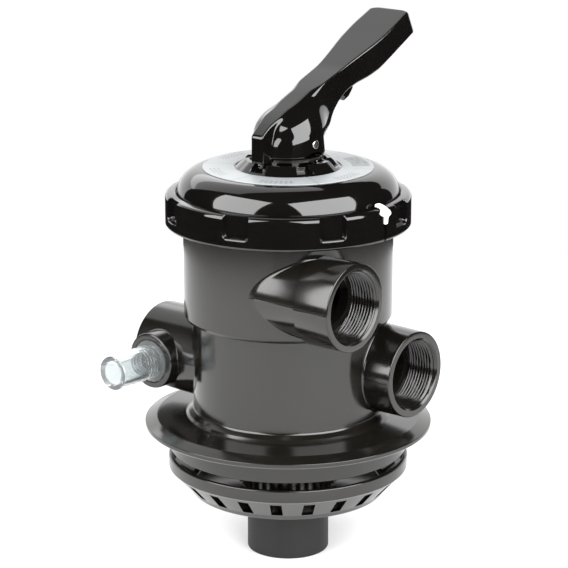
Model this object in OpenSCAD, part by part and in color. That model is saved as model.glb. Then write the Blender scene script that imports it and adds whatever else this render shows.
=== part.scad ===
// Top-mount multiport selector valve for a sand filter tank.
// Millimetres, +Z up. The origin is the centre of the riser socket's mouth, +X is the way
// the two front ports face, and the lever points along +Y.

/* [Tank neck] */
// Diameter of the flange that rests on the tank neck
flange_d = 198; // [194:1:204]
// Diameter of the round spigot that enters the neck
spigot_d = 164; // [160:1:168]
// Depth of the spigot below the flange
spigot_h = 18; // [14:1:18]

/* [Diffuser and riser] */
// Diameter of the diffuser's band
diffuser_d = 166; // [160:1:170]
// Number of windows round the diffuser
window_n = 22; // [16:2:24]
// Outer diameter of the riser socket
riser_od = 56.6; // [56:0.2:58]
// Bore that the riser pipe slides into
riser_bore = 50.3; // [50.2:0.1:50.6]

/* [Bodies] */
// Outer diameter of the lower body
lower_d = 130.4; // [129:0.2:132]
// Outer diameter of the upper body
upper_d = 142.6; // [141:0.2:144]
// Height where the upper body stands on the lower one
step_z = 173.3; // [172:0.1:174]

/* [Ports] */
// Diameter of the three pipe sockets' bores
port_bore = 47.8; // [46:0.1:48.2]
// Outer diameter of a pipe socket
port_od = 59.2; // [58:0.2:60]
// Depth of a pipe socket
port_depth = 24; // [20:1:26]
// Height of the two lower ports
low_port_z = 135.4; // [134:0.2:137]
// Height of the pump port
pump_z = 198; // [197:0.5:201]

/* [Lid and lock ring] */
// Outer diameter of the lock ring
ring_d = 166.4; // [166:0.2:168]
// Number of grip pockets round the lock ring
pocket_n = 8; // [6:1:10]
// Diameter of the lid's dome
dome_d = 151; // [150.4:0.1:151.2]
// Outer diameter of the position label
label_d = 115.4; // [108:0.2:116]

/* [Lever] */
// Diameter of the rotor's shaft
shaft_d = 20; // [18:0.5:20]
// Width of the lever's paddle
paddle_w = 35; // [28:1:38]
// Diameter of the pivot pin
pin_d = 6; // [5:0.5:6.5]

/* [Hidden] */
$fn = 96;
eps = 0.05;
seal_gap = 0.3;          // clearance under the rotor and under the cams
running = 0.05;          // radial clearance of the shaft and the pin

// Heights of the lower body
flange_z = 94.6;         // top edge of the flange's rim
floor_z = 94;
chamber_z = 100;
seat_z = 168;
spigot_z = flange_z - 1.4 - spigot_h;
lower_r = lower_d / 2;
lower_in = lower_r - 5.2;

// Seat, gasket and rotor
web_t = 3.2;
gasket_t = 1.8;
rotor_z = seat_z + gasket_t + seal_gap;
rotor_r = 58;
rotor_top = 210;
spring_washer_t = 1.5;

// Upper body and lid
upper_r = upper_d / 2;
upper_in = upper_r - 7.3;
rim_z = 246.2;
lug_n = 8;
lug_a = 21;              // angle of one body lug, degrees
lug_r = 77.6;
ring_low = 233.6;
ring_lip = 239.9;
ring_high = 252;
ring_top = 256;
ring_in = 78.1;
lid_flange_z = 251.6;
dome_r = dome_d / 2;
dome_fall = 21;          // width of the dome's rounded shoulder
dome_wall = 5.5;
dome_top = 272;
lid_under = 266.5;
boss_low = 254;
hub_base_r = 35.5;
hub_top_r = 29;
hub_in = 26;
hub_z = 278;
neck_z = 279;            // top of the lid's neck, under the cam washer
label_t = 0.5;

// Lever
pin_z = 290;
pin_half = 24.4;
cam_z = 281.3;
cam_washer_t = 2;
cheek_r = 24.9;
nose_y = -32.6;
shaft_r = shaft_d / 2;

// Ports: face, side offset and height
pump_y = -40;
pump_face = 90;
return_y = 30;
return_face = 87;
waste_y = -23;
waste_face = -96;
sight_x = -74;
sight_face = -60;
sight_end = -97.5;
sight_z = 134.2;
sight_tube_r = 11.8;
sight_collar_r = 14.6;
sight_boss_r = 19.4;
way_r = 18;

// A cylinder along X from x0 to x1
module along_x(x0, x1, y, z, r) {
    translate([min(x0, x1), y, z]) rotate([0, 90, 0]) cylinder(h = abs(x1 - x0), r = r);
}

// A cylinder along Y from y0 to y1
module along_y(y0, y1, x, z, r) {
    translate([x, max(y0, y1), z]) rotate([90, 0, 0]) cylinder(h = abs(y1 - y0), r = r);
}

// A plain ring between two heights
module washer(r_out, r_in, z0, z1) {
    translate([0, 0, z0]) difference() {
        cylinder(h = z1 - z0, r = r_out);
        translate([0, 0, -1]) cylinder(h = z1 - z0 + 2, r = r_in);
    }
}

// A round rubber ring lying flat
module oring(r, wire_r, z) {
    translate([0, 0, z]) rotate_extrude() translate([r, 0]) circle(r = wire_r, $fn = 32);
}

// A wedge of the given angle, centred on +X turned by a, from r0 out to r1
module wedge(a, width_a, r0, r1, z0, z1) {
    steps = 6;
    outer = [for (i = [0:steps]) let (t = a - width_a / 2 + width_a * i / steps)
        [r1 * cos(t), r1 * sin(t)]];
    inner = [for (i = [steps:-1:0]) let (t = a - width_a / 2 + width_a * i / steps)
        [r0 * cos(t), r0 * sin(t)]];
    translate([0, 0, z0]) linear_extrude(z1 - z0) polygon(concat(outer, inner));
}

// Lower body: flange, neck spigot, six chambers, two ports and the sight glass boss
module lower_shell() {
    rim = flange_d / 2;
    spigot_r = spigot_d / 2;
    rotate_extrude() polygon([
        [0, floor_z], [spigot_r - 6, floor_z], [spigot_r - 6, spigot_z], [spigot_r, spigot_z],
        [spigot_r, flange_z - 3.4], [rim - 1, flange_z - 3.4], [rim, flange_z - 2.4],
        [rim, flange_z], [rim - 8.3, flange_z + 3.3], [69.6, flange_z + 4.6],
        [69, flange_z + 5.6], [67, flange_z + 6.6], [lower_r, flange_z + 8.4],
        [lower_r, step_z], [0, step_z]]);
}

// Plain socket whose outside draws in a little towards its face
module lower_port(face, y, inner) {
    side = sign(face);
    translate([inner, y, low_port_z]) rotate([0, side * 90, 0])
        cylinder(h = abs(face - inner), r1 = port_od / 2 + 1.6, r2 = port_od / 2);
}

module lower_body() {
    color([0.11, 0.11, 0.11]) difference() {
        union() {
            difference() {
                union() {
                    lower_shell();
                    lower_port(return_face, return_y, 20);
                    lower_port(waste_face, waste_y, -20);
                    along_y(sight_face, waste_y, sight_x, sight_z, sight_boss_r);
                }
                translate([0, 0, chamber_z]) cylinder(h = step_z - chamber_z + 1, r = lower_in);
            }
            // locating ring inside the upper body, with the groove for its O-ring
            difference() {
                washer(upper_in - 0.1, lower_in, step_z - eps, step_z + 4.7);
                washer(upper_in, upper_in - 1.9, step_z + 1.35, step_z + 3.25);
            }
            // six webs, the ledge for the gasket and the centre tube
            for (i = [0:5]) rotate(60 * i) translate([20, -web_t / 2, chamber_z - 1])
                cube([lower_in - 19.5, web_t, seat_z - chamber_z + 1]);
            washer(lower_in + 0.5, lower_in - 4, seat_z - 5, seat_z);
            translate([0, 0, floor_z - 14]) cylinder(h = seat_z - floor_z + 13, r = 33);
        }
        // riser socket's seat, then the way up to the side window
        translate([0, 0, floor_z - 15]) cylinder(h = 19, r = riser_od / 2 + 0.1);
        translate([0, 0, floor_z]) cylinder(h = 52, r = 24);
        rotate(90) along_x(15, 36, 0, 126, 15);
        // lightened column under the seat
        translate([0, 0, 150]) cylinder(h = seat_z - 149, r = 24);
        // three floor openings to the top of the sand
        for (a = [30, 150, 270]) rotate(a) translate([47, 0, floor_z - 1]) cylinder(h = 8, r = 8.5);
        // pipe sockets and their waterways
        along_x(return_face + 1, return_face - port_depth, return_y, low_port_z, port_bore / 2);
        along_x(return_face - port_depth + 1, 36, return_y, low_port_z, way_r);
        along_x(waste_face - 1, waste_face + port_depth, waste_y, low_port_z, port_bore / 2);
        along_x(waste_face + port_depth - 1, -44, waste_y, low_port_z, way_r);
        // sight glass recess and bore
        along_y(sight_face - 1, sight_face + 4, sight_x, sight_z, sight_collar_r + 0.5);
        along_y(sight_face, waste_y, sight_x, sight_z, 9.4);
    }
}

// Upper body: rotor chamber, pump port and bayonet lugs under the lock ring
module upper_body() {
    color([0.12, 0.12, 0.12]) difference() {
        union() {
            rotate_extrude() polygon([
                [0, step_z], [upper_r - 1, step_z], [upper_r, step_z + 2.5],
                [upper_r, rim_z], [0, rim_z]]);
            along_x(20, pump_face - 28, pump_y, pump_z, port_od / 2 - 3);
            along_x(pump_face - 28, pump_face, pump_y, pump_z, port_od / 2);
            for (i = [0:lug_n - 1])
                wedge(i * 360 / lug_n, lug_a, upper_r - 1, lug_r, ring_lip + seal_gap, rim_z);
        }
        translate([0, 0, step_z - 1]) cylinder(h = rim_z - step_z + 2, r = upper_in);
        // seat for the lower body, under the pump port's neck as well
        translate([0, 0, step_z - 10]) cylinder(h = 10, r = lower_r + seal_gap);
        along_x(pump_face + 1, pump_face - port_depth, pump_y, pump_z, port_bore / 2);
        along_x(pump_face - port_depth + 1, 26, pump_y, pump_z, way_r + 2);
        // groove for the lid's O-ring
        washer(upper_in + 5.4, upper_in + 1.4, rim_z - 3, rim_z + 1);
    }
}

// Gasket shaped like a spoked wheel, lying on the webs
module spider_gasket() {
    color([0.16, 0.16, 0.17]) difference() {
        union() {
            washer(lower_in - 0.3, lower_in - 3.6, seat_z, seat_z + gasket_t);
            washer(32.5, 25, seat_z, seat_z + gasket_t);
            for (i = [0:5]) rotate(60 * i) translate([30, -2, seat_z])
                cube([lower_in - 32.5, 4, gasket_t]);
        }
    }
}

// O-ring round the joint of the two bodies
module body_oring() {
    color([0.08, 0.08, 0.08]) oring(upper_in - 0.95, 0.9, step_z + 2.3);
}

// Diffuser: a shallow bowl with windows round its slope
module diffuser() {
    r = diffuser_d / 2;
    color([0.13, 0.13, 0.13]) difference() {
        union() {
            rotate_extrude() polygon([
                [riser_od / 2 + 0.1, 44], [67, 44], [67.8, 44.8], [67.8, 49.6], [r - 1.4, 60.8],
                [r, 62], [r, 69.4], [r - 0.8, 70.2], [r - 3, 70.2], [r - 3.6, 62],
                [65.5, 52.5], [65, 47.5], [riser_od / 2 + 4, 47.5], [riser_od / 2 + 4, 72],
                [riser_od / 2 + 0.1, 72]]);
            for (i = [0:5]) rotate(60 * i + 30) translate([riser_od / 2 + 3, -1.5, 46])
                cube([36, 3, 14]);
        }
        for (i = [0:window_n - 1]) rotate(360 * i / window_n + 9.5)
            translate([62, -3.5, 50.2]) cube([30, 7, 8.6]);
    }
}

// Riser socket: the pipe that the filter's riser slides into
module riser_socket() {
    r = riser_od / 2;
    bore = riser_bore / 2;
    color([0.2, 0.2, 0.21]) rotate_extrude() polygon([
        [bore, 0], [r, 0], [r, 98], [22, 98], [22, 50], [bore, 50], [bore, 44.6],
        [bore + 1.9, 44.6], [bore + 1.9, 41], [bore, 41]]);
}

module riser_oring() {
    color([0.06, 0.06, 0.06]) oring(riser_bore / 2 + 0.95, 0.9, 42.8);
}

// Clear sight glass: closed tube, collar and the stem that screws into the boss
module sight_glass() {
    color([0.85, 0.9, 0.92, 0.4]) difference() {
        union() {
            along_y(sight_end, sight_face + 2, sight_x, sight_z, sight_tube_r);
            along_y(sight_face - 0.6, sight_face + 2.6, sight_x, sight_z, sight_collar_r);
            along_y(sight_face + 2, sight_face + 12, sight_x, sight_z, 9.3);
        }
        along_y(sight_end + 2, sight_face + 13, sight_x, sight_z, 8.2);
    }
}

module sight_glass_gasket() {
    color([0.05, 0.05, 0.05]) difference() {
        along_y(sight_face + 2.6, sight_face + 4, sight_x, sight_z, sight_collar_r + 0.3);
        along_y(sight_face + 2, sight_face + 5, sight_x, sight_z, 9.6);
    }
}

// Lid: dome, clamped flange, castellated hub and the shaft's bearing
module lid() {
    full = 0.85;         // a power below 1 makes the shoulder fuller than an ellipse
    outer_arc = [for (a = [0:7.5:90]) [dome_r - 0.1 - dome_fall * (1 - pow(cos(a), full)),
        lid_flange_z + (dome_top - lid_flange_z) * pow(sin(a), full)]];
    inner_r = 11.5;
    inner_arc = [for (a = [90:-15:0]) [dome_r - 25 + inner_r * cos(a),
        dome_top - dome_wall - inner_r * (1 - sin(a))]];
    color([0.07, 0.07, 0.08]) difference() {
        rotate_extrude() polygon(concat(
            [[shaft_r + running, boss_low], [16, boss_low], [16, lid_under]],
            inner_arc,
            [[upper_in - 2.5, 241], [upper_in - 0.3, 241], [upper_in - 0.3, rim_z],
                [lug_r, rim_z], [lug_r, lid_flange_z], [dome_r, lid_flange_z]],
            outer_arc,
            [[hub_base_r, dome_top], [hub_top_r, hub_z], [hub_in, hub_z], [hub_in, 274.5],
                [19, 274.5], [19, neck_z], [shaft_r + running, neck_z]]));
        for (i = [0:5]) rotate(60 * i - 90) translate([hub_in - 1, -5.35, 274])
            cube([12, 10.7, 6]);
    }
}

module lid_oring() {
    color([0.05, 0.05, 0.05]) oring(upper_in + 3.4, 1.45, rim_z - 1.5);
}

// Position label: a thin ring lying on the lid
module position_label() {
    color([0.9, 0.9, 0.9]) washer(label_d / 2, hub_base_r + 0.4, dome_top, dome_top + label_t);
}

// Lock ring: grip pockets outside, bayonet lugs inside
module lock_ring() {
    r = ring_d / 2;
    crown = [for (a = [0:15:90]) [r - 3 + 3 * cos(a), ring_top - 4 + 3 * sin(a)]];
    color([0.08, 0.08, 0.08]) difference() {
        rotate_extrude() polygon(concat(
            [[upper_r + 1, ring_low], [r - 1, ring_low], [r, ring_low + 1]],
            crown,
            [[77, ring_top], [76.1, ring_top - 0.6], [76.1, ring_high], [ring_in, ring_high],
                [ring_in, ring_lip], [upper_r + 1, ring_lip]]));
        // gaps between the inner lugs
        for (i = [0:lug_n - 1])
            wedge((i + 0.5) * 360 / lug_n, 360 / lug_n - lug_a - 1, upper_r, ring_in + 0.6,
                ring_low - 1, ring_lip + 1);
        // grip pockets, open at the top corner
        for (i = [0:pocket_n - 1]) rotate(15.5 + i * 360 / pocket_n)
            translate([r - 3, -9, ring_low + 6.4]) cube([6, 18, 30]);
        // slit and the lock tab's notch
        translate([ring_in - 1, -0.75, ring_low - 1]) cube([8, 1.5, 13]);
        translate([79.6, -2.1, 244.4]) cube([8, 4.2, 14]);
        translate([79.6, -4.9, 250.4]) cube([8, 9.8, 8]);
    }
}

// Lock tab: sits in the lock ring's notch, its head lies over the dome's edge
module ring_lock_tab() {
    color([0.93, 0.93, 0.93]) {
        translate([79.6, -1.9, 244.4]) cube([4.6, 3.8, 7]);
        translate([79.6, -4.7, 250.4]) cube([4.6, 9.4, 7]);
        translate([76.4, -3.2, 256.1]) cube([5, 6.4, 1.6]);
        translate([78.9, 0, 256.1]) cylinder(h = 3.4, r = 3);
    }
}

// Rotor: the turning seat with its shaft
module rotor() {
    groove_r = shaft_r - 1.6;
    color([0.22, 0.22, 0.23]) difference() {
        union() {
            rotate_extrude() polygon([
                [0, rotor_z], [rotor_r, rotor_z], [rotor_r, rotor_z + 9], [50, rotor_z + 16],
                [34, rotor_z + 30], [28, rotor_top], [shaft_r, rotor_top],
                [shaft_r, 258.4], [groove_r, 258.4], [groove_r, 262], [shaft_r, 262],
                [shaft_r, 269.4], [groove_r, 269.4], [groove_r, 273], [shaft_r, 273],
                [shaft_r, pin_z + 7.5], [shaft_r - 2, pin_z + 9], [0, pin_z + 9]]);
        }
        // hollow underside and the one way through
        difference() {
            translate([0, 0, rotor_z - 1]) cylinder(h = 9, r = 52);
            translate([0, 0, rotor_z - 1]) cylinder(h = 10, r = 24);
            for (a = [60, 120, 180, 300]) rotate(a) translate([20, -3, rotor_z - 2])
                cube([36, 6, 12]);
        }
        wedge(90, 40, 28, 50, rotor_z - 1, rotor_z + 40);
        along_x(-shaft_r - 1, shaft_r + 1, 0, pin_z, pin_d / 2 + 0.03);
    }
}

module shaft_oring_upper() {
    color([0.05, 0.05, 0.05]) oring(shaft_r - 0.82, 0.75, 271.2);
}

module shaft_oring_lower() {
    color([0.05, 0.05, 0.05]) oring(shaft_r - 0.82, 0.75, 260.2);
}

// Coil spring: a round wire swept up a helix whose ends lie flat
spring_r = 22.5;
wire_r = 1.7;
turns = 6.5;
ring_sides = 8;
turn_steps = 20;
spring_low = rotor_top + spring_washer_t + wire_r;
spring_high = lid_under - spring_washer_t - wire_r;

function spring_rise(t) = t * t * (3 - 2 * t);
function spring_point(i, k, count) =
    let (t = i / count, a = 360 * turns * t, b = 360 * k / ring_sides,
        reach = spring_r + wire_r * cos(b))
    [reach * cos(a), reach * sin(a),
        spring_low + (spring_high - spring_low) * spring_rise(t) + wire_r * sin(b)];

module rotor_spring() {
    count = turns * turn_steps;
    points = [for (i = [0:count], k = [0:ring_sides - 1]) spring_point(i, k, count)];
    sides = [for (i = [0:count - 1], k = [0:ring_sides - 1])
        [i * ring_sides + k, (i + 1) * ring_sides + k,
            (i + 1) * ring_sides + (k + 1) % ring_sides, i * ring_sides + (k + 1) % ring_sides]];
    first = [[for (k = [0:ring_sides - 1]) k]];
    last = [[for (k = [ring_sides - 1:-1:0]) count * ring_sides + k]];
    color([0.7, 0.71, 0.73]) polyhedron(points, concat(first, sides, last));
}

module spring_washer_upper() {
    color([0.85, 0.85, 0.83]) washer(28, 16.4, lid_under - spring_washer_t, lid_under);
}

module spring_washer_lower() {
    color([0.85, 0.85, 0.83]) washer(27, shaft_r + 0.3, rotor_top, rotor_top + spring_washer_t);
}

// Washer that the lever's cams press on
module cam_washer() {
    color([0.8, 0.8, 0.78]) washer(23, shaft_r + 0.4, neck_z, neck_z + cam_washer_t);
}

// Lever: side outline (Y, Z) from the nose over the top to the tip and back under
lever_side = [
    [nose_y, 278.4], [nose_y, 295.5], [-30.5, 299], [-27, 302.6], [-20, 307], [-11, 310.6],
    [0, 315], [14, 320.8], [28, 327], [44, 333.8], [60, 341.4], [80, 351], [100, 361.3],
    [108.5, 365.2], [112.5, 366], [115.5, 364.4], [119.5, 356.2], [118.5, 352.2], [90, 336.6],
    [77, 329], [67, 325], [57, 322], [48, 318], [40, 312], [33.5, 304.5], [28.5, 296],
    [24.5, 288.5], [16, cam_z], [-24, cam_z], [-24, 278.4]];

// Half the lever's width along Y
function lever_half(y) =
    y < -20 ? 5 :
    y < 46 ? 5 + 6.5 * (y + 20) / 66 :
    y < 84 ? let (t = (y - 46) / 38) 11.5 + (paddle_w / 2 - 11.5) * t * t * (3 - 2 * t) :
    y < 110 ? paddle_w / 2 :
    paddle_w / 2 - 4.5 + sqrt(max(0, 20.25 - pow((y - 110) / 9.5 * 4.5, 2)));

module lever() {
    ys = concat([nose_y, -20, 16], [for (y = [46:4:110]) y], [113, 115.5, 117.5, 119, 119.5]);
    plan = concat([for (y = ys) [lever_half(y), y]],
        [for (i = [len(ys) - 1:-1:0]) [-lever_half(ys[i]), ys[i]]]);
    crown = [for (a = [0:10:90]) [10.5 + 12.9 * cos(a), 300 + 12.9 * sin(a)]];
    color([0.07, 0.07, 0.07]) difference() {
        union() {
            intersection() {
                rotate([90, 0, 90]) translate([0, 0, -30]) linear_extrude(60) polygon(lever_side);
                union() {
                    translate([0, 0, 270]) linear_extrude(100) polygon(plan);
                    // the round cheeks over the pivot pin
                    rotate_extrude() polygon(concat([[0, cam_z - 2], [cheek_r, cam_z - 2]],
                        crown, [[0, 312.9]]));
                }
            }
            // thumb rib under the lever
            rotate([90, 0, 90]) translate([0, 0, -2.5]) linear_extrude(5)
                polygon([[50, 318], [51.5, 311], [57, 308.3], [63, 311], [67, 316], [67, 328]]);
        }
        translate([-shaft_r - 0.6, -14.5, 270]) cube([shaft_d + 1.2, 29.7, 33.5]);
        // arch between the two cams on which the lever rocks
        rotate([90, 0, 90]) translate([0, 0, -30]) linear_extrude(60)
            polygon([[-17, cam_z - 1], [-6, cam_z + 3.8], [7, cam_z + 3.8], [15, cam_z - 1]]);
        along_x(-30, 30, 0, pin_z, pin_d / 2 + running);
    }
}

module lever_pin() {
    color([0.75, 0.75, 0.76]) along_x(-pin_half, pin_half, 0, pin_z, pin_d / 2);
}

lower_body();
upper_body();
spider_gasket();
body_oring();
diffuser();
riser_socket();
riser_oring();
sight_glass();
sight_glass_gasket();
lid();
lid_oring();
position_label();
lock_ring();
ring_lock_tab();
rotor();
shaft_oring_upper();
shaft_oring_lower();
rotor_spring();
spring_washer_upper();
spring_washer_lower();
cam_washer();
lever();
lever_pin();
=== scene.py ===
# %% [markdown]
# # A filter valve in glossy black plastic
# This is the selector valve that sits on top of a sand filter. A person turns its lever to
# choose where the water goes. Its body, lid and lock ring are injection moulded ABS, so nearly
# every shape is a profile turned round an axis, with moulded details pressed into it.
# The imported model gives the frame: every size below is in millimetres in that frame.

# %% Load the frame
import math
import bpy
import bmesh
import numpy as np
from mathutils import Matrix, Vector


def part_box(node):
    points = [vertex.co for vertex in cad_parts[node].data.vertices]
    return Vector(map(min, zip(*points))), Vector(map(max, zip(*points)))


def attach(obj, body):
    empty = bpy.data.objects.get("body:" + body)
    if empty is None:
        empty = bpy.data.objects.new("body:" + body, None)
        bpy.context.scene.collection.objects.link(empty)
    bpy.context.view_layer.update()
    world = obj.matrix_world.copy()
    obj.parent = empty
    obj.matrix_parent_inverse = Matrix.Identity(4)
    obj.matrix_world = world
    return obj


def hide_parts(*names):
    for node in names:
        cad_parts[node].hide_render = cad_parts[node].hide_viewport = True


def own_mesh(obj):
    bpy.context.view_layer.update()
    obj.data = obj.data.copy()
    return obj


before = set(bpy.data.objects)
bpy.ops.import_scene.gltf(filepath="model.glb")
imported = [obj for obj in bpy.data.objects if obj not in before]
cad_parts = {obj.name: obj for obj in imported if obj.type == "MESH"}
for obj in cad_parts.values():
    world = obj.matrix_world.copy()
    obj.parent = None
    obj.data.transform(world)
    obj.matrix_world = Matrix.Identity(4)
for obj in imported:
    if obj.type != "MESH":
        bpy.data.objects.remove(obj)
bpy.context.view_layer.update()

# %% [markdown]
# ## Camera
# A long lens from a metre and a half away flattens the perspective, as a catalogue picture does.
# It looks down a little, so the lid's flat top and the flange show as thin ellipses.

# %% Camera
CAMERA_AT = Vector((0.9577, -1.1414, 0.601))
AIM_AT = Vector((-0.0022, -0.0018, 0.1898))
camera_data = bpy.data.cameras.new("camera")
camera_data.lens = 143.4
camera_data.sensor_width = 36
camera = bpy.data.objects.new("camera", camera_data)
camera.location = CAMERA_AT
camera.rotation_euler = (AIM_AT - CAMERA_AT).to_track_quat("-Z", "Y").to_euler()
bpy.context.collection.objects.link(camera)
bpy.context.scene.camera = camera
print("camera", round((AIM_AT - CAMERA_AT).length, 3), "m from its aim")

# %% [markdown]
# ## Profiles and turned surfaces
# A turned piece is a closed outline of (radius, height) points carried round an axis. Corners
# on a moulded piece are never razor sharp, so each corner of an outline takes its own fillet.

# %% Outline with rounded corners
MM = 0.001


def outline(corners, step=None, fillet_steps=6):
    """Closed outline through (a, b, fillet radius) corners.

    Each corner is swapped for an arc that touches both of its sides: the arc's centre lies on
    the corner's bisector at radius / sin(half angle), and the arc runs from one touching point
    to the other. step splits the straight stretches that are longer than it.
    """
    points = []
    count = len(corners)
    for i, (a, b, radius) in enumerate(corners):
        here = np.array([a, b], float)
        before = np.array(corners[i - 1][:2], float) - here
        after = np.array(corners[(i + 1) % count][:2], float) - here
        length = min(np.linalg.norm(before), np.linalg.norm(after))
        before /= np.linalg.norm(before)
        after /= np.linalg.norm(after)
        half = math.acos(np.clip(before @ after, -1, 1)) / 2
        if radius == 0 or half > 1.55:
            points.append(here)
            continue
        reach = min(radius / math.tan(half), 0.48 * length)
        radius = reach * math.tan(half)
        middle = before + after
        centre = here + middle / np.linalg.norm(middle) * radius / math.sin(half)
        first, last = here + before * reach - centre, here + after * reach - centre
        sweep = math.pi - 2 * half
        turn = sweep if first[0] * last[1] - first[1] * last[0] > 0 else -sweep
        for t in np.linspace(0, turn, fillet_steps + 1):
            spin = np.array([[math.cos(t), -math.sin(t)], [math.sin(t), math.cos(t)]])
            points.append(centre + spin @ first)
    if step:
        split = []
        for p, q in zip(points, points[1:] + points[:1]):
            parts = max(1, int(np.linalg.norm(q - p) / step))
            split += [p + (q - p) * k / parts for k in range(parts)]
        points = split
    return np.array(points)


def angles(count, marks=(), half=0.6, fine=7):
    """Angles round a full turn in radians: an even count, and fine clusters round each mark.

    marks are in degrees, and half is half a cluster's width in degrees.
    """
    even = np.arange(count) * 360 / count
    close = [m + np.linspace(-half, half, fine) for m in marks]
    every = np.mod(np.concatenate([even, *close]), 360)
    return np.radians(np.unique(np.round(every, 4)))


# %% Grids and meshes
class Axis:
    """A place and a direction to turn an outline round, with the two directions across it."""

    def __init__(self, at=(0, 0, 0), along=(0, 0, 1), across=(1, 0, 0)):
        self.at = np.array(at, float)
        self.along = np.array(along, float)
        self.u = np.array(across, float)
        self.v = np.cross(self.along, self.u)

    def place(self, radius, height, angle):
        """Point = at + along * height + (u cos angle + v sin angle) * radius, for whole arrays."""
        flat = self.u * np.cos(angle)[..., None] + self.v * np.sin(angle)[..., None]
        return self.at + self.along * height[..., None] + flat * radius[..., None]


def grid(points, close_rows=True, close_columns=True):
    """Quads over a rows x columns array of points; a closed direction joins its last to first."""
    rows, columns = points.shape[:2]
    index = np.arange(rows * columns).reshape(rows, columns)
    if close_rows:
        index = np.vstack([index, index[:1]])
    if close_columns:
        index = np.hstack([index, index[:, :1]])
    quads = np.stack([index[:-1, :-1], index[:-1, 1:], index[1:, 1:], index[1:, :-1]], -1)
    return points.reshape(-1, 3), quads.reshape(-1, 4)


def turned(profile, around, axis=Axis(), shape=None):
    """A closed outline turned round an axis. shape(r, z, angle) may press details into it."""
    r, angle = np.meshgrid(profile[:, 0], around, indexing="ij")
    z = np.broadcast_to(profile[:, 1:2], r.shape).copy()
    if shape:
        r, z = shape(r, z, angle)
    return grid(axis.place(r, z, angle))


def mesh_of(name, *shells):
    """One mesh from shells of (points in mm, quads): poles merged, faces turned outwards."""
    offset, points, quads = 0, [], []
    for shell_points, shell_quads in shells:
        points.append(shell_points)
        quads.append(shell_quads + offset)
        offset += len(shell_points)
    mesh = bpy.data.meshes.new(name)
    mesh.from_pydata((np.vstack(points) * MM).tolist(), [], np.vstack(quads).tolist())
    work = bmesh.new()
    work.from_mesh(mesh)
    bmesh.ops.remove_doubles(work, verts=work.verts, dist=1e-7)
    bmesh.ops.recalc_face_normals(work, faces=work.faces)
    work.to_mesh(mesh)
    work.free()
    return mesh


def cut(mesh, *cutters):
    """The mesh less each closed cutter mesh, by an exact boolean."""
    body = bpy.data.objects.new("cut_body", mesh)
    bpy.context.collection.objects.link(body)
    helpers = []
    for cutter in cutters:
        helper = bpy.data.objects.new("cutter", cutter)
        bpy.context.collection.objects.link(helper)
        helpers.append(helper)
        step = body.modifiers.new("cut", "BOOLEAN")
        step.operation = "DIFFERENCE"
        step.solver = "EXACT"
        step.object = helper
    bpy.context.view_layer.update()
    finished = body.evaluated_get(bpy.context.evaluated_depsgraph_get())
    result = bpy.data.meshes.new_from_object(finished)
    for item in [body, *helpers]:
        bpy.data.objects.remove(item)
    return result


def rod(radius, low, high, axis, steps=96):
    """A closed plain cylinder between two heights on an axis."""
    profile = np.array([[0, low], [radius, low], [radius, high], [0, high]])
    return turned(profile, angles(steps), axis)


def block(low, high):
    """A closed box between two corners."""
    spans = [np.array([a, b]) for a, b in zip(low, high)]
    x, y, z = np.meshgrid(*spans, indexing="ij")
    points = np.stack([x, y, z], -1).reshape(-1, 3)
    quads = [[0, 1, 3, 2], [4, 6, 7, 5], [0, 4, 5, 1], [2, 3, 7, 6], [0, 2, 6, 4], [1, 5, 7, 3]]
    return points, np.array(quads)


def show(name, mesh, material, body, slot, *replaced, sharp=32):
    """Puts a mesh on a CAD body: smooth faces, sharp edges past an angle, one material."""
    mesh.shade_smooth()
    mesh.set_sharp_from_angle(angle=math.radians(sharp))
    mesh.materials.clear()
    mesh.materials.append(material)
    piece = bpy.data.objects.new(name, mesh)
    bpy.context.collection.objects.link(piece)
    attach(piece, body)
    if replaced:
        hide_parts(*replaced)
    print(f"{name}: {len(mesh.polygons)} faces on {body}")
    return piece


def smooth(t):
    """Smooth step: 3 t^2 - 2 t^3 of t held between 0 and 1."""
    t = np.clip(t, 0, 1)
    return t * t * (3 - 2 * t)


# %% [markdown]
# ## Finishes
# All of the black parts are ABS, but their moulds differ. The lid, ring and lever come from a
# polished mould and reflect like a black mirror. The bodies and the diffuser come from a plain
# machined mould, which spreads the light into a soft sheen. The riser socket is grey PVC pipe.
# One helper adds every node, and constant values sit on the shader's own sockets.

# %% Colour and node helpers
def srgb(code, alpha=1.0):
    """A hex colour such as 1C1B1A as linear RGBA: ((c + 0.055) / 1.055) ^ 2.4 a channel."""
    channels = [int(code[i:i + 2], 16) / 255 for i in (0, 2, 4)]
    linear = [c / 12.92 if c <= 0.04045 else ((c + 0.055) / 1.055) ** 2.4 for c in channels]
    return (*linear, alpha)


def add(tree, kind, settings=None, links=None, feeds=None):
    """Adds a node: settings are its properties or unlinked inputs, links bring other nodes'
    outputs to its inputs, and feeds lead its outputs to other nodes' inputs."""
    made = tree.nodes.new(kind)
    for key, value in (settings or {}).items():
        if isinstance(key, str) and hasattr(made, key):
            setattr(made, key, value)
        else:
            made.inputs[key].default_value = value
    for key, (source, output) in (links or {}).items():
        tree.links.new(source.outputs[output], made.inputs[key])
    for key, (target, socket) in (feeds or {}).items():
        tree.links.new(made.outputs[key], target.inputs[socket])
    return made


def finish_of(name, settings):
    """A new material: its node tree and its main shader with the given constant values."""
    material = bpy.data.materials.new(name)
    material.use_nodes = True
    tree = material.node_tree
    shader = tree.nodes["Principled BSDF"]
    for key, value in settings.items():
        shader.inputs[key].default_value = value
    place = add(tree, "ShaderNodeTexCoord")
    return material, tree, shader, place


def per_metre(size_mm):
    """Texture scale whose pattern repeats about once every size_mm on Object coordinates."""
    return 1000 / size_mm


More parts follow.
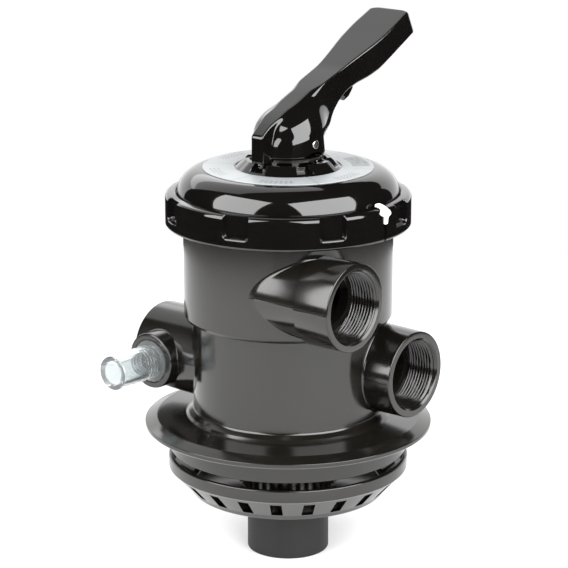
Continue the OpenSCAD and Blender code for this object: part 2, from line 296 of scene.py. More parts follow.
def two_tones(tree, shader, pattern, colours, roughness):
    """Lets a 0 to 1 pattern carry a finish between two colours and between two roughnesses."""
    add(tree, "ShaderNodeMix", {"data_type": "RGBA", 6: srgb(colours[0]), 7: srgb(colours[1])},
        {"Factor": pattern}, {2: (shader, "Base Color")})
    add(tree, "ShaderNodeMapRange", {"To Min": roughness[0], "To Max": roughness[1]},
        {"Value": pattern}, {"Result": (shader, "Roughness")})


# %% Moulded ABS, satin and polished
def moulded_abs(name, colours, roughness, grain_um):
    """Injection moulded ABS. Flow marks 40 mm long vary its colour and roughness a little, and
    the fine grain of the mould's surface, half a millimetre across, breaks up reflections."""
    material, tree, shader, place = finish_of(name, {"IOR": 1.53, "Metallic": 0.0})
    flow = add(tree, "ShaderNodeTexNoise", {"Scale": per_metre(40), "Detail": 3.0},
               {"Vector": (place, "Object")})
    two_tones(tree, shader, (flow, "Fac"), colours, roughness)
    grain = add(tree, "ShaderNodeTexNoise", {"Scale": per_metre(0.5), "Detail": 2.0},
                {"Vector": (place, "Object")})
    add(tree, "ShaderNodeBump", {"Strength": 1.0, "Distance": grain_um / 1000 * MM},
        {"Height": (grain, "Fac")}, {"Normal": (shader, "Normal")})
    return material


satin_abs = moulded_abs("satin_moulded_abs", ("0B0A08", "13110E"), (0.12, 0.2), 2)
polished_abs = moulded_abs("polished_moulded_abs", ("060505", "0B0A09"), (0.04, 0.08), 0.6)
print("moulded:", satin_abs.name, polished_abs.name)


# %% Extruded PVC, rubber, nylon, rotor plastic, steel
def drawn_pipe():
    """Extruded grey PVC: matte, with faint die lines along its length about 2 mm apart."""
    material, tree, shader, place = finish_of("extruded_pvc", {
        "IOR": 1.53, "Specular IOR Level": 0.25})
    spot = add(tree, "ShaderNodeSeparateXYZ", {}, {"Vector": (place, "Object")})
    way = add(tree, "ShaderNodeMath", {"operation": "ARCTAN2"}, {0: (spot, "Y"), 1: (spot, "X")})
    lines = add(tree, "ShaderNodeTexNoise", {"noise_dimensions": "1D", "Scale": 14.0,
                                             "Detail": 4.0}, {"W": (way, "Value")})
    two_tones(tree, shader, (lines, "Fac"), ("141414", "1C1C1C"), (0.48, 0.6))
    grain = add(tree, "ShaderNodeTexNoise", {"Scale": per_metre(0.6), "Detail": 3.0},
                {"Vector": (place, "Object")})
    drawn = add(tree, "ShaderNodeBump", {"Strength": 1.0, "Distance": 0.03 * MM},
                {"Height": (lines, "Fac")})
    add(tree, "ShaderNodeBump", {"Strength": 1.0, "Distance": 0.012 * MM},
        {"Height": (grain, "Fac"), "Normal": (drawn, "Normal")}, {"Normal": (shader, "Normal")})
    return material


def plain_solid(name, colours, rough, grain_mm, height_mm, ior=1.5, metallic=0.0):
    """A solid stock material: two close tones and a grain of one real size and height."""
    material, tree, shader, place = finish_of(name, {"IOR": ior, "Metallic": metallic})
    grain = add(tree, "ShaderNodeTexNoise", {"Scale": per_metre(grain_mm), "Detail": 3.0},
                {"Vector": (place, "Object")})
    two_tones(tree, shader, (grain, "Fac"), colours, (rough - 0.05, rough + 0.05))
    add(tree, "ShaderNodeBump", {"Strength": 1.0, "Distance": height_mm * MM},
        {"Height": (grain, "Fac")}, {"Normal": (shader, "Normal")})
    return material


grey_pvc = drawn_pipe()
nitrile = plain_solid("nitrile_rubber", ("101010", "171717"), 0.55, 0.8, 0.01, ior=1.52)
nylon = plain_solid("moulded_nylon", ("E9E9E6", "F1F1EF"), 0.4, 2.0, 0.01, ior=1.53)
rotor_abs = plain_solid("glass_filled_abs", ("37383A", "424346"), 0.45, 1.0, 0.01)
steel = plain_solid("drawn_stainless_steel", ("C9C7C2", "DAD8D4"), 0.22, 1.2, 0.01, metallic=1.0)
print("stock:", grey_pvc.name, nitrile.name, nylon.name, rotor_abs.name, steel.name)


# %% Clear polycarbonate
def clear_plastic():
    """Moulded clear polycarbonate: it transmits nearly all light, and is faintly cool. Its mould
    was polished, so only its roughness varies a little, in patches 12 mm long."""
    material, tree, shader, place = finish_of("clear_polycarbonate", {
        "IOR": 1.5, "Base Color": srgb("DCE1E2"), "Transmission Weight": 0.93})
    patches = add(tree, "ShaderNodeTexNoise", {"Scale": per_metre(12), "Detail": 1.0},
                  {"Vector": (place, "Object")})
    add(tree, "ShaderNodeMapRange", {"To Min": 0.0, "To Max": 0.04}, {"Value": (patches, "Fac")},
        {"Result": (shader, "Roughness")})
    return material


polycarbonate = clear_plastic()
print("clear:", polycarbonate.name)

# %% [markdown]
# ## Printed label
# The round label names the positions of the lever. Its words are left out: it carries only
# sector lines, grey bars and rows of small marks, drawn with polar coordinates round the axis.


# %% Label film
SECTOR = math.radians(60)
BORDER_HALF = 0.496      # of a sector's width: the rest is its border line
MARKS_A_TURN = 96
ROW_WAVE = 2400.0        # radians a metre: a row of marks every 2.6 mm
BAR_WAVE = 1800.0        # radians a metre: a bar every 3.5 mm
BAR_SLOPE = 0.35


def label_film():
    """Silver grey polyester film. A point's angle and radius choose between film and ink."""
    material, tree, shader, place = finish_of("printed_polyester_film", {
        "IOR": 1.55, "Roughness": 0.4})
    spot = add(tree, "ShaderNodeSeparateXYZ", {}, {"Vector": (place, "Object")})
    flat = add(tree, "ShaderNodeCombineXYZ", {}, {"X": (spot, "X"), "Y": (spot, "Y")})
    radius = add(tree, "ShaderNodeVectorMath", {"operation": "LENGTH"}, {0: (flat, "Vector")})
    way = add(tree, "ShaderNodeMath", {"operation": "ARCTAN2"}, {0: (spot, "Y"), 1: (spot, "X")})

    def calc(operation, a, b=None, c=None):
        settings, links = {"operation": operation}, {}
        for slot, item in enumerate((a, b, c)):
            if isinstance(item, tuple):
                links[slot] = item
            elif item is not None:
                settings[slot] = item
        return (add(tree, "ShaderNodeMath", settings, links), "Value")

    def between(value, low, high):
        return calc("MULTIPLY", calc("GREATER_THAN", value, low), calc("LESS_THAN", value, high))

    turn = calc("WRAP", (way, "Value"), math.tau, 0.0)
    r = (radius, "Value")
    # six sectors, each with a thin grey line at its border
    sector = calc("FRACT", calc("DIVIDE", calc("ADD", turn, SECTOR / 2), SECTOR))
    border = calc("LESS_THAN", calc("ABSOLUTE", calc("SUBTRACT", sector, 0.5)), BORDER_HALF)
    line = calc("SUBTRACT", 1.0, border)
    # rows of small marks stand for the words: short bars along the arc, three rows deep
    marks = calc("GREATER_THAN", calc("SINE", calc("MULTIPLY", turn, MARKS_A_TURN)), 0.1)
    rows = calc("GREATER_THAN", calc("SINE", calc("MULTIPLY", r, ROW_WAVE)), 0.2)
    in_row = calc("MULTIPLY", between(sector, 0.28, 0.72), between(r, 0.047, 0.0535))
    words = calc("MULTIPLY", calc("MULTIPLY", marks, rows), in_row)
    # one sector carries parallel bars
    across = calc("SUBTRACT", calc("MULTIPLY", (spot, "X"), BAR_SLOPE), (spot, "Y"))
    bars = calc("GREATER_THAN", calc("SINE", calc("MULTIPLY", across, BAR_WAVE)), -0.1)
    bar_sector = calc("MULTIPLY", between(turn, math.radians(38), math.radians(72)),
                      between(r, 0.043, 0.055))
    grey_bars = calc("MULTIPLY", bars, bar_sector)
    ink = calc("MAXIMUM", calc("MAXIMUM", calc("MULTIPLY", line, 0.9), words),
               calc("MULTIPLY", grey_bars, 0.9))
    add(tree, "ShaderNodeMix", {"data_type": "RGBA", 6: srgb("8E9294"), 7: srgb("3E4042")},
        {"Factor": ink}, {2: (shader, "Base Color")})
    return material


film = label_film()
print("label:", film.name)

# %% [markdown]
# ## Ports
# A port is a pipe socket moulded onto a round body. Its outline is turned round the port's own
# axis, and its root has to flow into the body through a fillet. For each direction round the
# socket, the fillet is a quadratic curve that leaves the socket's side and lands on the body.
# Under the body's skin the surface turns back to the waterway, so that the socket is closed.

# %% Port surface
PITCH = 2.309            # mm, one turn of a 1 1/2 inch pipe thread
THREAD_DEPTH = 1.3
THREAD_SAMPLES = 12      # rings for each turn of the thread
PART_LINE = 0.14         # mm, height of the line where the mould's halves meet


def thread_rows(start, end):
    """Heights from start to end, close enough to show each turn of the thread."""
    return np.linspace(start, end, int(abs(end - start) / PITCH * THREAD_SAMPLES))


def port(axis, hit, outside, root_r, waterway_r, bore_r, depth, face, flare, mouth=1.3,
         thread_depth=THREAD_DEPTH):
    """A threaded socket with a flared root.

    hit(u, v) is how far out the parent's surface lies above the point (u, v) across the axis.
    Outside is the list of (height, radius) rings from the face's rim in to the root's radius.
    The bore's radius is bore_r - thread_depth * (0.5 + 0.5 cos(2 pi height / PITCH + angle))
    along the thread, which fades in and out over a turn. The mould's part line runs along
    both sides of the barrel.
    """
    around = angles(216, marks=(0.01, 180), half=1.4, fine=7)
    cos, sin = np.cos(around), np.sin(around)
    rows = []

    def ring(height, radius):
        rows.append((np.broadcast_to(height, around.shape), np.broadcast_to(radius, around.shape)))

    def part_line(radius):
        return PART_LINE * np.exp(-(np.sin(around) * radius / 0.35) ** 2)

    start = hit(waterway_r * cos, waterway_r * sin) - 2
    floor = face - depth
    ring(start, waterway_r)
    ring(np.maximum(start, floor - 3), waterway_r)
    ring(floor, waterway_r + 0.6)
    ring(floor, bore_r)
    for height in thread_rows(floor + 0.4, face - mouth):
        fade_in = smooth((height - floor) / PITCH - 0.2)
        fade_out = smooth((face - mouth - height) / PITCH * 1.4)
        wave = 0.5 + 0.5 * np.cos(2 * np.pi * height / PITCH + around)
        ring(height, bore_r - thread_depth * fade_in * fade_out * wave)
    ring(face, bore_r + mouth)
    for height, radius in outside:
        ring(height, radius + (part_line(radius) if height < face - 1.5 else 0))
    low = hit(root_r * cos, root_r * sin)
    wide = root_r + flare
    landing = hit(wide * cos, wide * sin) - 0.04
    for t in np.linspace(0, 1, 9):
        height = (1 - t) ** 2 * (low + flare) + 2 * t * (1 - t) * low + t * t * landing
        ring(height, root_r + t * t * flare + part_line(root_r) * (1 - t) ** 2)
    ring(landing - 1.2, wide)
    ring(np.minimum(start, landing - 1.6), waterway_r + 1)
    heights, radii = (np.array(part) for part in zip(*rows))
    turn = np.broadcast_to(around, heights.shape)
    return grid(axis.place(radii, heights, turn))


def face_rings(face, radius, bevel=0.9):
    """The face's outer edge: a quarter round of the bevel's radius."""
    return [(face - bevel + bevel * math.cos(t), radius - bevel + bevel * math.sin(t))
            for t in np.linspace(0, math.pi / 2, 6)]


def step_rings(height, outer, inner, bevel=0.8):
    """A shoulder between two radii with both of its corners rounded."""
    grow = 1 if inner > outer else -1
    first = [(height + bevel - bevel * math.sin(t), outer + grow * bevel * (1 - math.cos(t)))
             for t in np.linspace(0, math.pi / 2, 5)]
    last = [(height - bevel + bevel * math.cos(t), inner - grow * bevel * (1 - math.sin(t)))
            for t in np.linspace(0, math.pi / 2, 5)]
    return first + last


def round_body(radius, side):
    """How far out a body of that radius lies above the point u beside the port's plane."""
    return lambda u, v: np.sqrt(np.maximum(radius ** 2 - (side + u) ** 2, 1.0))


# %% [markdown]
# ## Lower body
# The lower body is one moulding: the flange that rests on the tank's neck, the spigot inside
# it, the drum with the return and waste ports, and a small boss for the sight glass. The flange
# has a sloping outer band, and a rounded bead where it meets the drum.

# %% Sizes of the two bodies
lower_low, lower_high = (np.array(c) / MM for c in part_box("lower_body"))
upper_low, upper_high = (np.array(c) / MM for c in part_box("upper_body"))
FLANGE_R = lower_high[0]
SPIGOT_Z = lower_low[2]
SPIGOT_R = 82.0
FLANGE_UNDER = SPIGOT_Z + 16.0
STEP_Z = upper_low[2]
LOWER_R = 65.2
UPPER_R = 71.3
WALL = 5.2
SOCKET_R = 29.6
BORE_R = 23.9
BORE_DEPTH = 24.0
WATERWAY_R = 18.0
LOW_PORT_Z = 135.4
SIGHT_Z = 134.2
RETURN_Y, RETURN_FACE = 30.0, 87.0
WASTE_Y, WASTE_FACE = -23.0, 96.0
PUMP_Y, PUMP_Z, PUMP_FACE = -40.0, 198.0, upper_high[0]
MOULD_LINE = 0.12        # mm, height of a body's mould line
LOWER_LINE_AT, UPPER_LINE_AT = -30.8, 11.7     # degrees round each body
print("flange radius", round(FLANGE_R, 1), "step at", round(STEP_Z, 1))


def off_centre(angle, count, first=0.0):
    """Degrees from each angle to the nearest of count even places, one of them at first."""
    turn = (np.degrees(angle) - first) % (360 / count)
    return np.minimum(turn, 360 / count - turn)


def mould_line(at_degrees, radius, low, high):
    """Raises one upright mould line on a drum: a ridge as tall as MOULD_LINE, 0.5 mm wide."""
    def shape(r, z, angle):
        away = np.radians(off_centre(angle, 1, at_degrees)) * radius
        on = (np.abs(r - radius) < 0.01) & (z > low) & (z < high)
        return r + on * MOULD_LINE * np.exp(-(away / 0.3) ** 2), z
    return shape


# %% Lower body's drum and flange
drum = outline([
    (SPIGOT_R - 6, SPIGOT_Z, 0.5), (SPIGOT_R, SPIGOT_Z, 0.9), (SPIGOT_R, FLANGE_UNDER, 0.6),
    (FLANGE_R - 1, FLANGE_UNDER, 0.3), (FLANGE_R, FLANGE_UNDER + 1, 0.5),
    (FLANGE_R, FLANGE_UNDER + 3.4, 0.5), (FLANGE_R - 8.3, FLANGE_UNDER + 6.6, 1.2),
    (70.6, FLANGE_UNDER + 7.7, 0.8), (68.8, FLANGE_UNDER + 9.6, 1.6),
    (LOWER_R, FLANGE_UNDER + 12.4, 2.5), (LOWER_R, STEP_Z, 0), (UPPER_R - 7.4, STEP_Z, 0),
    (UPPER_R - 7.4, STEP_Z + 4.7, 0.5), (LOWER_R - WALL, STEP_Z + 4.7, 0.5),
    (LOWER_R - WALL, 100, 2), (28.4, 100, 0.5), (28.4, 80, 0.5), (33, 80, 0.5), (33, 94, 2),
    (SPIGOT_R - 6, 94, 2)])
drum_mesh = mesh_of("drum", turned(drum, angles(256, marks=(LOWER_LINE_AT,), half=0.8),
                                   shape=mould_line(LOWER_LINE_AT, LOWER_R, 105, STEP_Z)))
return_axis = Axis((0, RETURN_Y, LOW_PORT_Z), (1, 0, 0), (0, 1, 0))
waste_axis = Axis((0, WASTE_Y, LOW_PORT_Z), (-1, 0, 0), (0, 1, 0))
drum_mesh = cut(
    drum_mesh,
    mesh_of("return_way", rod(WATERWAY_R, 25, 80, return_axis)),
    mesh_of("waste_way", rod(WATERWAY_R, 30, 80, waste_axis)))
print("drum cut for two waterways:", len(drum_mesh.polygons), "faces")

# %% Return port, waste port and sight glass boss
ROOT_R = SOCKET_R + 0.5


def low_port(axis, side, face):
    """A lower socket, whose barrel draws in a little from its root to its face."""
    outside = [*face_rings(face, SOCKET_R), (face - 2, SOCKET_R + 0.05),
               (face - 3, SOCKET_R + 0.08)]
    return port(axis, round_body(LOWER_R, side), outside, ROOT_R, WATERWAY_R, BORE_R, BORE_DEPTH,
                face, 1.8)


BOSS_X, BOSS_R, BOSS_FACE = -74.0, 19.4, 37.0
RECESS_R, RECESS_DEPTH, BOSS_BORE_R = 15.1, 4.0, 9.45
sight_axis = Axis((BOSS_X, WASTE_Y, SIGHT_Z), (0, -1, 0), (1, 0, 0))


def sight_boss():
    """The boss on the side of the waste port, with a recess for the sight glass's collar."""
    def barrel(u, v):
        return np.sqrt(SOCKET_R ** 2 - (v + SIGHT_Z - LOW_PORT_Z) ** 2)

    return port(sight_axis, barrel, face_rings(BOSS_FACE, BOSS_R, 1.2), BOSS_R, BOSS_BORE_R,
                RECESS_R, RECESS_DEPTH, BOSS_FACE, 1.6, mouth=0.4, thread_depth=0)


lower_mesh = mesh_of("lower_ports", low_port(return_axis, RETURN_Y, RETURN_FACE),
                     low_port(waste_axis, WASTE_Y, WASTE_FACE), sight_boss())


def joined(name, *meshes):
    """One mesh that holds all the given ones."""
    work = bmesh.new()
    for mesh in meshes:
        work.from_mesh(mesh)
    result = bpy.data.meshes.new(name)
    work.to_mesh(result)
    work.free()
    return result


show("lower_body_moulding", joined("lower_body", drum_mesh, lower_mesh), satin_abs, "valve_body",
     "black_abs", "lower_body")

# %% [markdown]
# ## Upper body
# A slightly wider drum stands on the lower one and holds the rotor. Its pump port leaves it
# almost as a tangent, so the port's neck runs a long way along the drum before it clears it.

# %% Upper body
LUGS, LUG_ANGLE, LUG_R, LUG_LOW, RIM_Z = 8, 21.0, 77.6, 240.2, upper_high[2]


def lug_shape(r, z, angle):
    """Keeps the rim's radius only within each bayonet lug, and adds the mould line."""
    in_lug = off_centre(angle, LUGS) < LUG_ANGLE / 2
    r = np.where(in_lug, r, np.minimum(r, UPPER_R + 0.001))
    return mould_line(UPPER_LINE_AT, UPPER_R, STEP_Z + 3, 236)(r, z, angle)


def both_sides(count, first, half):
    """Degrees of the two edges of each of count even places, the first of them at first."""
    return [first + 360 * i / count + side * half for i in range(count) for side in (-1, 1)]


lug_edges = both_sides(LUGS, 0, LUG_ANGLE / 2)
upper_drum = outline([
    (UPPER_R - 1.2, STEP_Z, 0.3), (UPPER_R, STEP_Z + 2.4, 0.8), (UPPER_R, LUG_LOW, 0),
    (LUG_R, LUG_LOW, 0.5), (LUG_R, RIM_Z, 0.5), (UPPER_R - 7.3, RIM_Z, 0.4),
    (UPPER_R - 7.3, STEP_Z, 0.3)])
upper_mesh = mesh_of("upper_drum", turned(
    upper_drum, angles(256, marks=[*lug_edges, UPPER_LINE_AT], half=0.8), shape=lug_shape))
pump_axis = Axis((0, PUMP_Y, PUMP_Z), (1, 0, 0), (0, 1, 0))
PUMP_WAY_R = 20.0
upper_mesh = cut(upper_mesh, mesh_of("pump_way", rod(PUMP_WAY_R, 20, 80, pump_axis)))
NECK_R = SOCKET_R - 3
NECK_END = PUMP_FACE - 28
pump_outside = (face_rings(PUMP_FACE, SOCKET_R - 0.3) + [(PUMP_FACE - 2, SOCKET_R - 0.28)]
                + step_rings(NECK_END, SOCKET_R, NECK_R, 0.3))
pump_port = mesh_of("pump_port", port(pump_axis, round_body(UPPER_R, PUMP_Y), pump_outside,
                                      NECK_R, PUMP_WAY_R, BORE_R, BORE_DEPTH, PUMP_FACE, 2.0))
show("upper_body_moulding", joined("upper_body", upper_mesh, pump_port), satin_abs, "valve_body",
     "black_abs", "upper_body")

# %% [markdown]
# ## Diffuser and riser socket
# Water comes down inside the spigot and leaves through a ring of windows in a shallow bowl,
# which spreads it over the sand. The windows are cut through the bowl's slope with one cutter.

# %% Diffuser
diffuser_high = np.array(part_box("diffuser")[1]) / MM
BAND_R, BAND_TOP = diffuser_high[0], 70.2
SOCKET_OUT = 28.4
WINDOWS, WINDOW_FIRST = 22, 9.5          # how many, and the first one's degrees
WINDOW_HALF, WINDOW_LOW, WINDOW_HIGH = 3.9, 48.2, 58.9
bowl = outline([
    (SOCKET_OUT, 44, 0.3), (67.2, 44, 1.0), (68, 45.2, 0.5), (69.6, 47.6, 1.5),
    (BAND_R - 1.4, 60.8, 1.0), (BAND_R, 61.8, 0.6), (BAND_R, BAND_TOP, 1.0),
    (BAND_R - 3, BAND_TOP, 0.8), (BAND_R - 3.6, 62, 2), (65.5, 52.5, 2), (65, 47.5, 1.5),
    (SOCKET_OUT + 4, 47.5, 2), (SOCKET_OUT + 4, 72, 1), (SOCKET_OUT, 72, 0.3)])
bowl_mesh = mesh_of("bowl", turned(bowl, angles(352)))


def window_blocks():
    """A closed block across the bowl's slope for each window."""
    low, quads = block((61.5, -WINDOW_HALF, WINDOW_LOW), (95, WINDOW_HALF, WINDOW_HIGH))
    for i in range(WINDOWS):
        turn = math.tau * i / WINDOWS + math.radians(WINDOW_FIRST)
        c, s = math.cos(turn), math.sin(turn)
        yield low @ np.array([[c, s, 0], [-s, c, 0], [0, 0, 1]]), quads


bowl_mesh = cut(bowl_mesh, mesh_of("windows", *window_blocks()))
show("diffuser_bowl", bowl_mesh, satin_abs, "valve_body", "black_abs", "diffuser")

# %% Riser socket
PIPE_R, PIPE_BORE_R, PIPE_TOP = 28.3, 25.15, 98.0
pipe = outline([
    (PIPE_BORE_R + 0.5, 0, 0), (PIPE_R - 0.4, 0, 0), (PIPE_R, 0.6, 0.3), (PIPE_R, PIPE_TOP, 0.5),
    (22, PIPE_TOP, 0.5), (22, 50, 0.5), (PIPE_BORE_R, 50, 0), (PIPE_BORE_R, 44.6, 0),
    (PIPE_BORE_R + 1.9, 44.6, 0), (PIPE_BORE_R + 1.9, 41, 0), (PIPE_BORE_R, 41, 0),
    (PIPE_BORE_R, 0.8, 0)])
show("riser_socket_pipe", mesh_of("riser_socket", turned(pipe, angles(192))), grey_pvc,
     "valve_body", "grey_pvc", "riser_socket")

# %% [markdown]
# ## Sight glass
# A clear tube, closed at its outer end, shows whether the waste water runs clean. It is one
# moulding with a collar that seals on the boss and a threaded stem behind it. Clear plastic
# shows its inside, so the inner wall and its thread are real surfaces too.

# %% Sight glass
SIGHT_END, SIGHT_TUBE_R, SIGHT_COLLAR_R, SIGHT_BORE_R = 74.5, 11.8, 14.6, 8.2
STEM_R, STEM_END = 9.3, 25.5
THREAD_TOP, SIGHT_PITCH, SIGHT_THREAD = 50.0, 3.0, 0.4


def sight_threads(r, z, angle):
    """Threads inside the tube, from its open end to past the collar: bore + depth * cosine."""
    wave = np.cos(2 * np.pi * z / SIGHT_PITCH + angle)
    inner = (np.abs(r - SIGHT_BORE_R) < 0.01) & (z < THREAD_TOP)
    fade = smooth((THREAD_TOP - z) / 3) * smooth((z - STEM_END) / 2)
    return r + inner * SIGHT_THREAD * fade * wave, z


glass = outline([
    (0, SIGHT_END, 0), (SIGHT_TUBE_R, SIGHT_END, 0.9), (SIGHT_TUBE_R, 37.6, 0.5),
    (SIGHT_COLLAR_R, 37.6, 0.4), (SIGHT_COLLAR_R, 34.4, 0.4), (STEM_R, 34.4, 0.3),
    (STEM_R, STEM_END, 0.4), (SIGHT_BORE_R, STEM_END, 0.4), (SIGHT_BORE_R, SIGHT_END - 2, 1.5),
    (0, SIGHT_END - 2, 0)], step=0.3)
glass_mesh = mesh_of("sight_glass", turned(glass, angles(96), sight_axis, sight_threads))
show("sight_glass_tube", glass_mesh, polycarbonate, "valve_body", "clear_plastic", "sight_glass")

# %% [markdown]
# ## Lid and label
# The lid is a polished dome with a wide round shoulder. Its hub is a low cone with six notches
# that the lever's nose points to. The notches are pressed in by lowering the hub's height
# wherever the angle falls inside one.

# %% Lid
lid_high = np.array(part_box("lid")[1]) / MM
DOME_R, DOME_LOW, DOME_TOP, DOME_FALL = 75.4, 251.6, 272.0, 21.0
HUB_BASE_R, HUB_TOP_R, HUB_IN_R, HUB_Z = 35.5, 29.0, 26.0, 278.0
NOTCHES, NOTCH_FIRST, NOTCH_HALF = 6, -90, 9.7     # how many, and degrees
NECK_Z = lid_high[2]
SHAFT_BORE_R = 10.05


def notched_hub(r, z, angle):
    """Lowers the hub to just above the dome inside each notch."""
    away = off_centre(angle, NOTCHES, NOTCH_FIRST)
    inside = smooth((NOTCH_HALF + 0.3 - away) / 0.6)
    hub = (r > HUB_IN_R - 0.1) & (r < HUB_BASE_R + 0.1) & (z > DOME_TOP + 1)
    floor = DOME_TOP + 1.4
    return r, np.where(hub & (z > floor), z - inside * (z - floor), z)


FULL = 0.85              # a power below 1 makes the shoulder fuller than an ellipse
shoulder = [(DOME_R - DOME_FALL * (1 - math.cos(t) ** FULL),
             DOME_LOW + (DOME_TOP - DOME_LOW) * math.sin(t) ** FULL, 0)
            for t in np.linspace(0, math.pi / 2, 60)[:-1]] + [(DOME_R - DOME_FALL, DOME_TOP, 0)]
dome = outline([
    (SHAFT_BORE_R, 254, 0.3), (16, 254, 0.5), (16, 266.5, 1), (50, 266.5, 8), (61.5, 241, 0.5),
    (63.7, 241, 0.5), (63.7, 246.2, 0), (77.6, 246.2, 0.4), (77.6, 251.6, 0.4),
    *shoulder, (HUB_BASE_R, DOME_TOP, 0.8),
    (HUB_TOP_R, HUB_Z, 0.7), (HUB_IN_R, HUB_Z, 0.5), (HUB_IN_R, 274.5, 0.5), (19, 274.5, 0.5),
    (19, NECK_Z, 0.4), (SHAFT_BORE_R, NECK_Z, 0.3)], step=1.5)
notch_edges = both_sides(NOTCHES, NOTCH_FIRST, NOTCH_HALF)
lid_mesh = mesh_of("lid", turned(dome, angles(300, notch_edges, 0.4), shape=notched_hub))
show("lid_dome", lid_mesh, polished_abs, "valve_body", "gloss_abs", "lid")

# %% Position label
LABEL_R = np.array(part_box("position_label")[1])[0] / MM
sticker = outline([(HUB_BASE_R + 0.9, DOME_TOP, 0), (LABEL_R, DOME_TOP, 0),
                   (LABEL_R, DOME_TOP + 0.45, 0.2), (HUB_BASE_R + 0.9, DOME_TOP + 0.45, 0.2)])
show("position_label_film", mesh_of("label", turned(sticker, angles(256))), film, "valve_body",
     "label_film", "position_label")

# %% [markdown]
# ## Lock ring and tab
# The ring clamps the lid. Eight pockets give a spanner or fingers something to hold, so they
# are pressed into the ring's outer wall and run out at its top corner. A slit and a small
# notch hold the white lock tab.

# %% Lock ring
ring_low, ring_high = (np.array(c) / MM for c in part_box("lock_ring"))
RING_R = ring_high[0]
RING_LOW, RING_TOP = ring_low[2], ring_high[2]
POCKETS, POCKET_FIRST, POCKET_HALF, POCKET_DEPTH = 8, 15.5, 9.0, 3.0
POCKET_FLOOR_Z = RING_LOW + 6.6
SLIT_HALF, STEM_HALF, TAB_HALF = 0.75, 2.1, 4.9
RING_BORE_R, LUG_GAP = 78.1, 1.0         # LUG_GAP: degrees that a gap is wider than a lug
# half width, lowest height, radius of the floor and corner of the slit and the tab's two steps
SLOTS = [(SLIT_HALF, 0, 78.9, 0.4), (STEM_HALF, 244.4, 79.6, 0.4), (TAB_HALF, 250.4, 79.6, 1.2)]


def pressed(away, z, half, low, corner, edge):
    """1 inside a rounded slot that is open at its top, 0 outside, across an edge of width edge.

    The distance to the slot's side and floor is that of a box with round corners.
    """
    side = np.abs(away) - (half - corner)
    under = (low + corner) - z
    outside = np.hypot(np.maximum(side, 0), np.maximum(under, 0))
    distance = outside + np.minimum(np.maximum(side, under), 0) - corner
    return smooth(0.5 - distance / edge)


def ring_shape(r, z, angle):
    """Presses the pockets, the slit and the tab's notch into the wall, and gaps in the lugs."""
    inner_lug = (r < RING_BORE_R + 0.1) & (z < 240)
    off_lug = off_centre(angle, LUGS) > (LUG_ANGLE + LUG_GAP) / 2
    r = np.where(inner_lug & off_lug, RING_BORE_R, r)
    outer = r > RING_BORE_R + 0.9
    away = np.radians(off_centre(angle, POCKETS, POCKET_FIRST)) * RING_R
    mask = pressed(away, z, POCKET_HALF, POCKET_FLOOR_Z, 2.2, 1.1)
    floor = RING_R - POCKET_DEPTH
    r = np.where(outer & (r > floor), r - mask * (r - floor), r)
    across = np.radians(off_centre(angle, 1)) * RING_R
    for half, low, floor, corner in SLOTS:
        mask = pressed(across, z, half, low, corner, 0.35)
        r = np.where((r > floor) & (z < RING_TOP - 0.4), r - mask * (r - floor), r)
    return r, z


def ring_angle(half_mm):
    """The angle in degrees of a distance along the ring's outside."""
    return math.degrees(half_mm / RING_R)


pocket_edges = both_sides(POCKETS, POCKET_FIRST, ring_angle(POCKET_HALF))
slot_edges = [s * ring_angle(slot[0]) for slot in SLOTS for s in (-1, 1)]
gap_edges = both_sides(LUGS, 0, (LUG_ANGLE + LUG_GAP) / 2)
hoop = outline([
    (72.3, RING_LOW, 0.4), (RING_R, RING_LOW, 1.2), (RING_R, RING_TOP - 1, 3.2),
    (77.2, RING_TOP, 0.5), (76.1, RING_TOP - 0.4, 0.4), (76.1, 252, 0.2), (RING_BORE_R, 252, 0),
    (RING_BORE_R, 239.9, 0), (72.3, 239.9, 0.4)], step=0.55)
hoop_around = np.unique(np.concatenate([
    angles(480, pocket_edges, 0.75, 9), angles(1, slot_edges, 0.2, 5),
    angles(1, gap_edges, 0.1, 3)]))
hoop_mesh = mesh_of("lock_ring", turned(hoop, hoop_around, shape=ring_shape))
show("lock_ring_hoop", hoop_mesh, polished_abs, "lock_ring", "gloss_abs", "lock_ring")

# %% Lock tab
def table(value, points):
    """Straight lines between (place, value) points."""
    places, values = zip(*points)
    return np.interp(value, places, values)


def soft_table(value, points, reach):
    """The table averaged over reach mm each way, which rounds its corners."""
    shifts = np.linspace(-reach, reach, 9)
    return sum(table(value + s, points) for s in shifts) / len(shifts)


def path_lengths(points):
    """Distance along a path to each of its points."""
    return np.r_[0, np.cumsum(np.linalg.norm(np.diff(points, axis=0), axis=1))]


def heading(path):
    """Unit direction of a path at each of its points."""
    ahead = np.gradient(path, axis=0)
    return ahead / np.linalg.norm(ahead, axis=1)[:, None]


def round_ends(count, rows=3):
    """Size of each ring of a bar: 1, less a quarter circle over the rows at both ends."""
    end = np.minimum(np.arange(count), np.arange(count)[::-1]) / rows
    return np.maximum(np.sqrt(1 - (1 - np.minimum(end, 1)) ** 2), 0.001)


def swept(path, offset, halves, thickness, sides=32):
    """A flat bar along a path of (x, z) points: each section is a superellipse.

    Across the bar it reaches halves[i] * |cos|^0.55 either side of offset[i], and through it
    thickness / 2 * |sin|^0.55, a rectangle with round corners. The ends shrink to a point.
    """
    ahead = heading(path)
    normal = np.stack([-ahead[:, 1], ahead[:, 0]], 1)
    angle = np.arange(sides) / sides * math.tau
    wide = np.sign(np.cos(angle)) * np.abs(np.cos(angle)) ** 0.55
    thick = np.sign(np.sin(angle)) * np.abs(np.sin(angle)) ** 0.55
    scale = round_ends(len(path))
    y = offset[:, None] + (halves * scale)[:, None] * wide
    out = (thickness / 2 * scale)[:, None] * thick
    x = path[:, :1] + normal[:, :1] * out
    z = path[:, 1:] + normal[:, 1:] * out
    return grid(np.stack([x, y, z], -1), close_rows=False)


